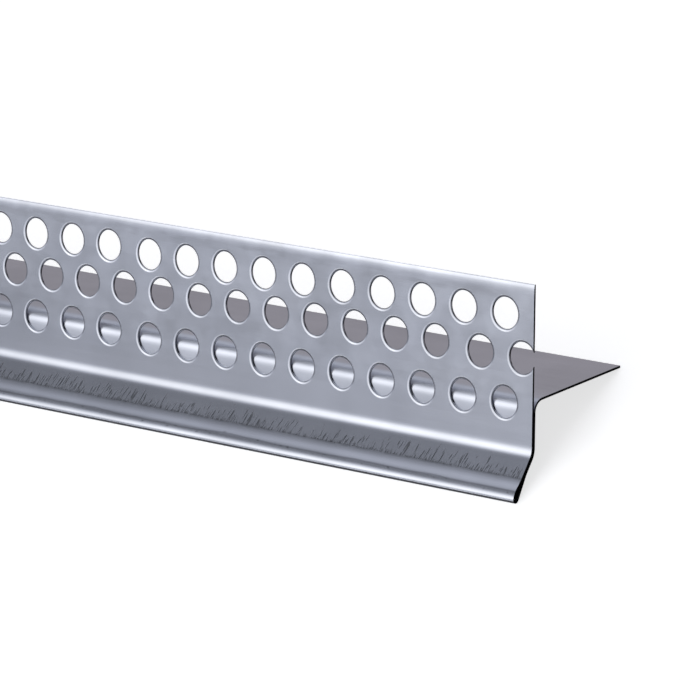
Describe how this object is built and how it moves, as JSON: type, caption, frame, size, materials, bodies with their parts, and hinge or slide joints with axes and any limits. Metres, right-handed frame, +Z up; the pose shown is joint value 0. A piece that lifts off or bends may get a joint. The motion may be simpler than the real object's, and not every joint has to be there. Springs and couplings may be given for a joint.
{
  "type": "plinth profile",
  "caption": "Folded sheet strip with a perforated plaster flange, a hemmed drip nose in front of it and a plain leg to the rear.",
  "frame": {"origin": "on the floor plane, below the middle of the bounding box of the profile as it lies on a floor", "axes": "+X along the strip, towards the end seen in the picture; +Y to the rear, where the leg points; +Z up as the profile lies, on its nose and the leg's rear edge"},
  "size_m": [2, 0.0376, 0.0308],
  "materials": {
    "stainless_sheet": "cold-rolled, fine matt"
  },
  "bodies": {
    "root": {"plinth_profile": "stainless_sheet"}
  },
  "joints": []
}
